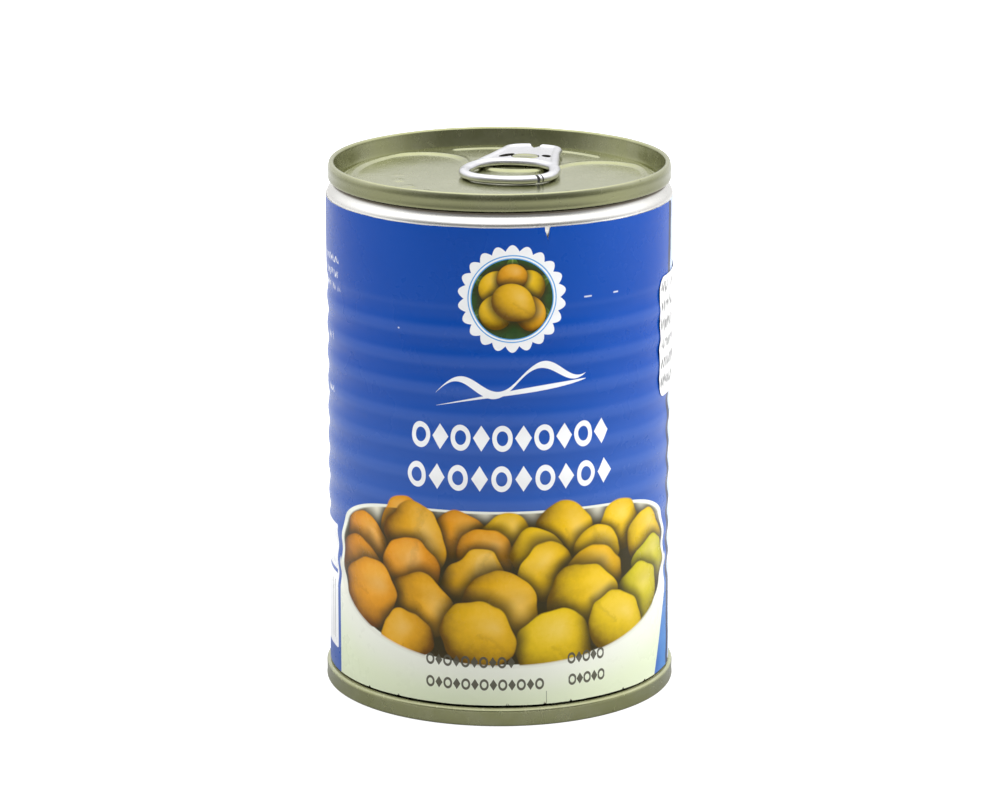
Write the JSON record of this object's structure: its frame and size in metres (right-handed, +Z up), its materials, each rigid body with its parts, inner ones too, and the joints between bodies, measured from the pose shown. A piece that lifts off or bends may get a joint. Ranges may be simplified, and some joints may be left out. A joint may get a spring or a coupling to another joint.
{
  "type": "can of chickpeas",
  "caption": "Upright round steel food can with a wrapped printed label, a small side sticker, a ring-pull lid sunk inside its rolled rim, and a rolled foot.",
  "frame": {"origin": "middle of the foot ring that the can stands on", "axes": "+Z up along the can, the front of the label towards -Y, +X to the right of someone who looks at the front"},
  "size_m": [0.0746, 0.0746, 0.113],
  "materials": {
    "bare_steel": "bright tinplate",
    "label_print": "glossy printed paper",
    "sticker_paper": "matt white sticker paper",
    "gold_lacquer": "clear olive-gold lacquer over steel",
    "tab_metal": "bright stamped sheet"
  },
  "bodies": {
    "root": {"can_body": "bare_steel", "label": "label_print", "sticker": "sticker_paper", "top_end": "gold_lacquer", "bottom_end": "gold_lacquer", "pull_tab": "tab_metal"}
  },
  "joints": []
}
